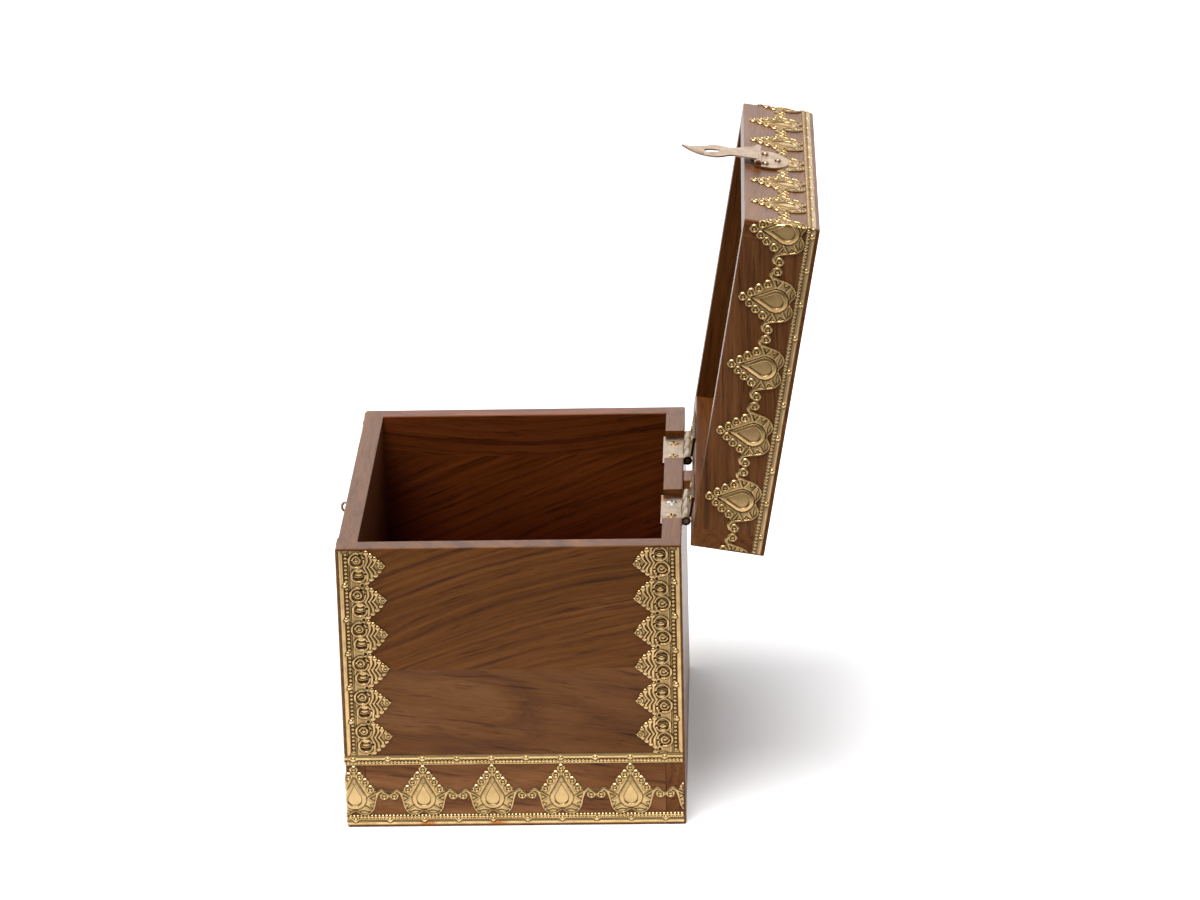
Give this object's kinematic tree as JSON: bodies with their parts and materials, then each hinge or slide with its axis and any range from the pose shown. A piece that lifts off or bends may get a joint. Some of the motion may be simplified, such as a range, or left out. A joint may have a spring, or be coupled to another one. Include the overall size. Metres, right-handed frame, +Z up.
{
  "type": "storage box",
  "caption": "Wooden storage box with a hinged lid held open by a stop block, embossed brass trim along its edges, and a brass hasp with a staple.",
  "frame": {"origin": "middle of the underside of the box", "axes": "+Z up, the front with the staple faces -Y, the hinges are on +Y, +X is the right-hand side seen from the front"},
  "size_m": [0.2568, 0.3116, 0.4134],
  "materials": {
    "hardwood": "lacquered rosewood-like hardwood, satin",
    "brass_sheet": "embossed thin sheet, lightly tarnished",
    "brass_fitting": "satin",
    "steel_wire": "drawn wire"
  },
  "bodies": {
    "box": {"front_panel": "hardwood", "back_panel": "hardwood", "left_panel": "hardwood", "right_panel": "hardwood", "bottom_panel": "hardwood", "base_corner_brads": "steel_wire", "bottom_brads": "steel_wire", "lid_stop_block": "hardwood", "left_hinge_base_leaf": "brass_fitting", "right_hinge_base_leaf": "brass_fitting", "left_hinge_pin": "steel_wire", "right_hinge_pin": "steel_wire", "base_hinge_screws": "brass_fitting", "hasp_staple": "brass_fitting", "base_motif_band": "brass_sheet", "base_band_nails": "brass_sheet", "base_border_strip": "brass_sheet", "base_border_nails": "brass_sheet", "right_front_lace": "brass_sheet", "right_back_lace": "brass_sheet", "left_front_lace": "brass_sheet", "left_back_lace": "brass_sheet", "front_left_lace": "brass_sheet", "front_right_lace": "brass_sheet", "lace_nails": "brass_sheet"},
    "lid": {"lid_top_panel": "hardwood", "lid_front_rail": "hardwood", "lid_back_rail": "hardwood", "lid_left_rail": "hardwood", "lid_right_rail": "hardwood", "lid_corner_brads": "steel_wire", "left_hinge_lid_leaf": "brass_fitting", "right_hinge_lid_leaf": "brass_fitting", "lid_hinge_screws": "brass_fitting", "lid_motif_band": "brass_sheet", "lid_band_nails": "brass_sheet", "hasp_plate": "brass_fitting", "hasp_pin": "steel_wire", "hasp_nails": "brass_fitting"},
    "hasp": {"hasp_strap": "brass_fitting"}
  },
  "joints": [
    {"name": "lid_hinge", "type": "hinge", "parent": "box", "child": "lid", "pos_m": [0, 0.1105, 0.1884], "axis": [-1, 0, 0], "range_deg": [-99.7, 0]},
    {"name": "hasp_hinge", "type": "hinge", "parent": "lid", "child": "hasp", "pos_m": [0, 0.15876, 0.40486], "axis": [-1, 0, 0], "range_deg": [0, 140]}
  ]
}
